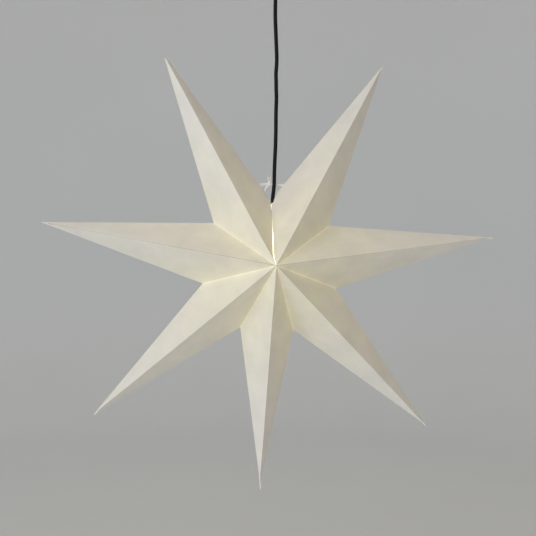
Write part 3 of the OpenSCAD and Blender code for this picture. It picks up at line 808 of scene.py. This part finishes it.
def flapPatches(k, size):
    # Four glue flaps along the valleys and the tab inside the back ridge
    patches = []
    width, bevel = size["width"] * mm, size["bevel"] * mm
    for apex in (apexFront, apexBack):
        for notch in (notchBefore(k), notchAfter(k)):
            along = (notch - apex).normalized()
            axis = (centre - apex).normalized()
            inward = (axis - along * axis.dot(along)).normalized()
            lift = towards(along.cross(inward).normalized(), rayAhead(k))
            root = apex + lift * size["glueLine"] * mm + inward * size["rootIn"] * mm
            stop = (notch - apex).length - size["fromNotch"] * mm
            begin = size["fromApex"] * mm
            patches.append(patchFaces([root + along * begin, root + along * stop,
                                       root + along * (stop - bevel) + inward * width,
                                       root + along * (begin + 1.6 * bevel) + inward * width], -lift))
    tip, tabWidth = rayTip(k), size["tabWidth"] * mm
    normal = panelNormal(k, apexBack, notchAfter(k))
    along = (tip - apexBack).normalized()
    across = towards(normal.cross(along).normalized(), notchAfter(k) - apexBack)
    foot = apexBack + inset(k, (star["sheet"] + size["glueLine"]) * mm)
    begin, stop = size["tabFromApex"] * mm, (tip - apexBack).length - size["tabFromTip"] * mm
    patches.append(patchFaces([foot + along * begin, foot + along * stop,
                               foot + along * (stop - 2 * tabWidth) + across * tabWidth,
                               foot + along * (begin + tabWidth) + across * tabWidth], normal))
    if k == 1:
        patches.append(looseLap(size))
    points = [p for patch in patches for p in patch]
    return points, [tuple(range(4 * i, 4 * i + 4)) for i in range(len(patches))]


# The hole for the cord, cut through the creases at the open seam, and the tie string's holes
cutSize = {
    "leftOut": 8.6, "leftUp": 10.5, "rightOut": 8.4, "rightUp": 8.5, "footLeft": 0.8, "footRight": 3.4,
    "footDown": 5.8, "footRound": 0.8, "footSteps": 6, "top": 30.0, "halfDepth": 45.0, "tieHole": 3.0,
    "tieUp": 26.0, "tieIn": 6.0, "lowTieUp": 15.0, "tieDepth": 5.0,
}


def seamSide(k):
    return notchAfter(0) if k == 0 else notchBefore(1)


def creaseAt(k, up):
    a, b = seamSide(k), rayTip(k)
    return a + (b - a) * (up * mm / (b.z - a.z))


def tieHole(k, up, into):
    crease = creaseAt(k, up)
    return crease + (apexBack - crease).normalized() * into * mm


def tieNormal(k):
    return panelNormal(k, apexBack, seamSide(k))


def addPrism(bm, outline, depth):
    front = [bm.verts.new(p - depth) for p in outline]
    back = [bm.verts.new(p + depth) for p in outline]
    bm.faces.new(front)
    bm.faces.new(list(reversed(back)))
    for i in range(len(outline)):
        n = (i + 1) % len(outline)
        bm.faces.new((front[n], front[i], back[i], back[n]))


def cutterFrom(bm):
    bmesh.ops.recalc_face_normals(bm, faces=bm.faces)
    mesh = bpy.data.meshes.new("cutter")
    bm.to_mesh(mesh)
    bm.free()
    return newObject("cutter", mesh)


def cableCutters(k, size):
    # The V for the cable, and then the tie holes one by one, because they reach into the V's own cutter
    notch = notchPoint(1)
    bm = bmesh.new()
    foot = []
    half = (size["footRight"] - size["footLeft"]) / 2
    for i in range(size["footSteps"] + 1):
        a = math.pi * (1 + i / size["footSteps"])
        foot.append(notch + point((size["footLeft"] + size["footRight"]) / 2 + half * math.cos(a), 0,
                                  -size["footDown"] + size["footRound"] + size["footRound"] * math.sin(a)))
    outline = [notch + point(-size["leftOut"], 0, size["leftUp"])] + foot + [
        notch + point(size["rightOut"], 0, size["rightUp"]),
        notch + point(size["rightOut"], 0, size["top"]), notch + point(-size["leftOut"], 0, size["top"])]
    addPrism(bm, outline, point(0, size["halfDepth"], 0))
    cutters = [cutterFrom(bm)]
    turn = tieNormal(k).to_track_quat("Z", "Y").to_matrix().to_4x4()
    for up in [size["tieUp"]] + ([size["lowTieUp"]] if k == 0 else []):
        bm = bmesh.new()
        bmesh.ops.create_cone(bm, cap_ends=True, segments=24, radius1=size["tieHole"] * mm / 2,
                              radius2=size["tieHole"] * mm / 2, depth=size["tieDepth"] * mm,
                              matrix=Matrix.Translation(tieHole(k, up, size["tieIn"])) @ turn)
        cutters.append(cutterFrom(bm))
    return cutters


def joinInto(piece, other):
    # Adds the other piece's faces to a piece, keeping its attributes and materials
    bm = bmesh.new()
    bm.from_mesh(piece.data)
    bm.from_mesh(other.data)
    bpy.data.objects.remove(other)
    bm.to_mesh(piece.data)
    bm.free()
    piece.data.update()


def makeRay(k, tree):
    row = rays[k]
    words = row["node"].split("_")
    name = words[0] + "".join(w.capitalize() for w in words[1:])
    piece = newObject(name, meshFrom(name, [(0, 0, 0)], []))
    span = notchBefore(k) - notchAfter(k)
    ahead = rayAhead(k)
    side = (span - ahead * span.dot(ahead)).normalized()
    runTree(piece, tree, {
        "Apex Front": apexFront, "Apex Back": apexBack, "Notch Before": notchBefore(k),
        "Notch After": notchAfter(k), "Tip": rayTip(k), "Side": side, "Nib Reach": row["nibReach"] * mm,
        "Nib Bend": row["nibBend"] * mm, "Seam Side": {0: 1.0, 1: -1.0}.get(k, 0.0),
        "Seed": 3.0 * k + 1.0, "Paper": foldedPaper})
    piece.data.materials.clear()
    piece.data.materials.append(foldedPaper)
    piece.data.materials.append(insidePaper)
    for face in piece.data.polygons:
        face.material_index = 0
    crease = piece.modifiers.new("softCrease", "BEVEL")
    crease.width, crease.segments = rayShape["foldRound"], 2
    crease.limit_method, crease.angle_limit = "ANGLE", math.radians(rayShape["foldAngle"])
    wall = piece.modifiers.new("sheet", "SOLIDIFY")
    wall.thickness, wall.offset = star["sheet"] * mm, -1
    wall.material_offset, wall.material_offset_rim = 1, 0
    plainMesh(piece)
    for cutter in cableCutters(k, cutSize) if k < 2 else []:
        cut = piece.modifiers.new("cableCut", "BOOLEAN")
        cut.operation, cut.solver, cut.object = "DIFFERENCE", "FAST", cutter
        plainMesh(piece)
        bpy.data.objects.remove(cutter)
    points, faces = flapPatches(k, flapSize)
    flaps = newObject("flaps", meshFrom("flaps", points, faces))
    thick = flaps.modifiers.new("sheet", "SOLIDIFY")
    thick.thickness, thick.offset = star["sheet"] * mm, -1
    plainMesh(flaps)
    for face in flaps.data.polygons:
        face.material_index = 1
    joinInto(piece, flaps)
    piece.data.shade_smooth()
    piece.data.set_sharp_from_angle(angle=math.radians(rayShape["sharpAngle"]))
    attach(piece, "root")
    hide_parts(row["node"])
    return piece


rayTree = foldedRayTree(rayShape)
rayPieces = [makeRay(k, rayTree) for k in range(len(rays))]
print("rays folded:", [len(p.data.polygons) for p in rayPieces])


# Materials of the lampholder, the bulb and the ceiling cup
def wearOf(m, scale, dust, place=None):
    return m.group(wearGroup, Vector=place or m.place, Scale=scale, Dust=dust)


def plasticLook(name, colour, roughness, dust, dustColour):
    m = MaterialMaker(name, roughness=roughness)
    wear = wearOf(m, 160.0, dust)
    m.set("Base Color", m.blend(wear["Mask"], (*colour, 1), (*dustColour, 1)))
    m.set("Roughness", m.remap(wear["Height"], 0.3, 1.0, roughness - 0.08, roughness + 0.12))
    m.bump(wear["Height"], 0.12, 0.0003)
    return m.material


def metalLook(name, colour, stained, roughness):
    m = MaterialMaker(name, metallic=1.0, roughness=roughness)
    wear = wearOf(m, 140.0, 0.5, m.vector("MULTIPLY", m.place, (1.0, 1.0, 6.0)))
    m.set("Base Color", m.blend(wear["Mask"], (*colour, 1), (*stained, 1)))
    m.set("Roughness", m.remap(wear["Height"], 0.3, 1.0, roughness - 0.1, roughness + 0.15))
    m.bump(wear["Height"], 0.1, 0.0002)
    return m.material


# Cores below this height are the holder's and have their middle at this x, the cup's at 0
coreSize = {"holderBelow": -0.2, "holderMiddle": -0.004}


def coreLook(size):
    # The two cores: brown on the left, blue on the right
    m = MaterialMaker("coreSheath", roughness=0.45)
    place = m.parts(m.place)
    inHolder = m.math("LESS_THAN", place["Z"], size["holderBelow"])
    middle = m.times(inHolder, size["holderMiddle"])
    side = m.math("GREATER_THAN", place["X"], middle)
    wear = wearOf(m, 200.0, 0.15)
    pair = m.blend(side, (0.12, 0.045, 0.015, 1), (0.02, 0.06, 0.28, 1))
    m.set("Base Color", m.blend(wear["Mask"], pair, (0.3, 0.3, 0.3, 1)))
    m.bump(wear["Height"], 0.1, 0.0002)
    return m.material


def cordLook():
    m = MaterialMaker("cordSheath", roughness=0.6, **{"Specular IOR Level": 0.18})
    sleeveMap = m.node("ShaderNodeTexCoord").outputs["UV"]
    lines = m.noise(m.vector("MULTIPLY", sleeveMap, (40.0, 60.0, 1.0)), 1.0, 4.0, 0.6)
    wear = wearOf(m, 120.0, 0.06)
    m.set("Base Color", m.blend(wear["Mask"], (0.003, 0.003, 0.0032, 1), (0.04, 0.04, 0.04, 1)))
    m.set("Roughness", m.remap(lines, 0.3, 0.7, 0.48, 0.62))
    m.bump(lines, 0.15, 0.0002)
    return m.material


# From the bulb's top down to the lower edge of its metal cap and of its collar
bulbSize = {"cap": 19.0, "collar": 37.0}


def bulbLook(size):
    # One material for the whole lamp: metal cap above, pale collar, lit opal globe below
    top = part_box("light_bulb")[1].z
    m = MaterialMaker("litBulb", roughness=0.3, **{"Emission Strength": 1.0})
    place = m.parts(m.place)
    metal = m.math("GREATER_THAN", place["Z"], top - size["cap"] * mm)
    collar = m.math("GREATER_THAN", place["Z"], top - size["collar"] * mm)
    wear = wearOf(m, 120.0, 0.2)
    shell = m.blend(collar, (0.85, 0.83, 0.78, 1), (0.78, 0.77, 0.74, 1))
    shell = m.blend(metal, shell, (0.72, 0.7, 0.66, 1))
    m.set("Base Color", m.blend(m.times(wear["Mask"], 0.2), shell, (0.4, 0.4, 0.4, 1)))
    m.set("Metallic", metal)
    m.set("Roughness", m.remap(wear["Height"], 0.3, 1.0, 0.22, 0.42))
    m.set("Emission Color", m.blend(collar, (0.9, 0.82, 0.62, 1), (0, 0, 0, 1)))
    return m.material


def cottonLook():
    m = MaterialMaker("whiteCotton", roughness=0.9, **{"Emission Strength": 1.0, "Specular IOR Level": 0.2})
    fuzz = m.noise(m.place, 2600.0, 3.0, 0.6)
    m.set("Base Color", m.blend(fuzz, (0.74, 0.72, 0.68, 1), (0.9, 0.89, 0.86, 1)))
    # The bulb below shines up through the cable cut
    m.set("Emission Color", m.blend(fuzz, (0.07, 0.065, 0.055, 1), (0.15, 0.14, 0.125, 1)))
    m.bump(fuzz, 0.5, 0.0002)
    return m.material


blackPlastic = plasticLook("blackPlastic", colour=(0.012, 0.012, 0.013), roughness=0.42, dust=0.12,
                           dustColour=(0.12, 0.12, 0.12))
ivoryPlastic = plasticLook("ivoryPlastic", colour=(0.66, 0.62, 0.5), roughness=0.4, dust=0.2,
                           dustColour=(0.4, 0.36, 0.28))
brass = metalLook("brass", colour=(0.72, 0.5, 0.2), stained=(0.35, 0.22, 0.09), roughness=0.32)
steel = metalLook("platedSteel", colour=(0.62, 0.62, 0.6), stained=(0.34, 0.33, 0.31), roughness=0.34)
finishes = {
    blackPlastic: ["cord_grip", "holder_cap", "holder_sleeve", "ceiling_cup", "cup_gland", "gland_nut"],
    ivoryPlastic: ["holder_insert", "terminal_block"],
    brass: ["screw_shell", "centre_contact", "terminal_screws", "block_screws"],
    steel: ["grip_screw", "hanger_strap", "side_screws"],
    coreLook(coreSize): ["holder_cores", "cup_cores"],
    bulbLook(bulbSize): ["light_bulb"],
}
for material, names in finishes.items():
    for name in names:
        nodes[name].data.materials.clear()
        nodes[name].data.materials.append(material)
lampCord.data.materials.append(cordLook())
print("finishes set")


# Tie string: three cotton strands laid together, from Geometry Nodes along a path
stringSize = {
    "diameter": 1.9, "strands": 3, "strandRadius": 0.53, "strandReach": 0.5, "strandSides": 8,
    "turnsPerMetre": 240.0, "step": 0.5, "knot": 1.7, "knotSteps": 61, "knotLeft": 1.5, "knotBack": 6.0,
    "knotDown": 1.5, "knotInside": 2.8, "overEdge": 2.5, "arch": point(0, 1.4, 0.6),
    "freeWay": ((1.2, 0.4, 4.4), (1.6, 0.8, 7.7), (2.0, 0.6, 11.0)),
    "apart": point(0, 0.25, 0.95), "spread": (0.4, 0.7, 1, 1.15, 0.8), "pathStep": 1.0,
}


def laidStringTree(size):
    # The radius and the reach of a strand are shares of the string's own radius
    t = TreeMaker("laidString")
    geometryEnds(t)
    for name in ("Radius", "Turns", "Step"):
        t.input(name, "NodeSocketFloat")
    t.input("Cotton", "NodeSocketMaterial")
    given = t.given()
    line = t.node("GeometryNodeMeshToCurve")
    t.put(line.inputs[0], given["Geometry"])
    even = t.node("GeometryNodeResampleCurve", mode="LENGTH")
    t.put(even.inputs["Curve"], line.outputs[0])
    t.put(even.inputs["Length"], given["Step"])
    profile = t.node("GeometryNodeCurvePrimitiveCircle")
    profile.inputs["Resolution"].default_value = size["strandSides"]
    t.put(profile.inputs["Radius"], t.times(given["Radius"], size["strandRadius"]))
    run = t.node("GeometryNodeSplineParameter").outputs["Length"]
    along = t.node("GeometryNodeInputTangent").outputs[0]
    across = t.node("GeometryNodeInputNormal").outputs[0]
    other = t.vector("CROSS_PRODUCT", along, across)
    joined = t.node("GeometryNodeJoinGeometry")
    for strand in range(size["strands"]):
        angle = t.math("ADD", t.times(run, given["Turns"], 2 * math.pi),
                       strand * 2 * math.pi / size["strands"])
        reach = t.times(given["Radius"], size["strandReach"])
        cosine = t.times(reach, t.math("COSINE", angle))
        sine = t.times(reach, t.math("SINE", angle))
        offset = t.vector("ADD", t.scaled(across, cosine), t.scaled(other, sine))
        laid = t.node("GeometryNodeSetPosition")
        t.put(laid.inputs["Geometry"], even.outputs[0])
        t.put(laid.inputs["Offset"], offset)
        tube = t.node("GeometryNodeCurveToMesh")
        t.put(tube.inputs["Curve"], laid.outputs[0])
        t.put(tube.inputs["Profile Curve"], profile.outputs[0])
        tube.inputs["Fill Caps"].default_value = True
        t.tree.links.new(tube.outputs[0], joined.inputs[0])
    finishTree(t, joined.outputs[0], given["Cotton"])
    return t


def pathMesh(name, paths):
    points, edges = [], []
    for path in paths:
        first = len(points)
        points += [tuple(p) for p in path]
        edges += [(first + i, first + i + 1) for i in range(len(path) - 1)]
    mesh = bpy.data.meshes.new(name)
    mesh.from_pydata(points, edges, [])
    return mesh


def knotPath(middle, size):
    # A trefoil, pulled small, as the string's overhand knot
    path = []
    for i in range(size["knotSteps"]):
        a = 2 * math.pi * i / size["knotSteps"]
        path.append(middle + point(math.sin(a) + 2 * math.sin(2 * a), 1.2 * math.sin(3 * a),
                                   math.cos(a) - 2 * math.cos(2 * a)) * (size["knot"] * 0.5))
    return path


def makeTieString(size, cotton):
    # Each hole has two strands side by side from a knot inside the paper to the knot in the middle
    knot = notchPoint(1) + point(-size["knotLeft"], size["knotBack"], cutSize["tieUp"] - size["knotDown"])
    step = size["pathStep"] * mm
    paths = [knotPath(knot, size)]
    for k, up in ((0, cutSize["tieUp"]), (1, cutSize["tieUp"]), (0, cutSize["lowTieUp"])):
        hole, normal = tieHole(k, up, cutSize["tieIn"]), tieNormal(k)
        inside = hole - normal * size["knotInside"] * mm
        route = [inside, hole, hole + normal * size["overEdge"] * mm, (hole + knot) / 2 + size["arch"], knot]
        for lean in (-1, 1):
            apart = size["apart"] * lean
            strand = [p + apart * w for p, w in zip(route, size["spread"])]
            paths.append(smoothPath(strand, step))
        paths.append(knotPath(inside, size))
    for lean in (-1, 1):
        route = [knot] + [knot + point(lean * x, y, z) for x, y, z in size["freeWay"]]
        paths.append(smoothPath(route, step))
    piece = newObject("tieString", pathMesh("tieString", paths))
    runTree(piece, laidStringTree(size), {
        "Radius": size["diameter"] * mm / 2, "Turns": size["turnsPerMetre"], "Step": size["step"] * mm,
        "Cotton": cotton})
    piece.data.shade_smooth()
    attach(piece, "root")
    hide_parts("tie_string")


makeTieString(stringSize, cottonLook())
print("tie string laid")


# The floor's own material: pale, with a soft unevenness
floorTone = {"colour": (0.81, 0.84, 0.88), "lighter": 1.06, "cloudScale": 1.2}


def floorLook(tone):
    m = MaterialMaker("paleFloor", roughness=0.9)
    cloud = m.noise(m.place, tone["cloudScale"])
    lighter = [c * tone["lighter"] for c in tone["colour"]]
    m.set("Base Color", m.blend(cloud, (*tone["colour"], 1), (*lighter, 1)))
    return m.material


paleSweep.data.materials.append(floorLook(floorTone))
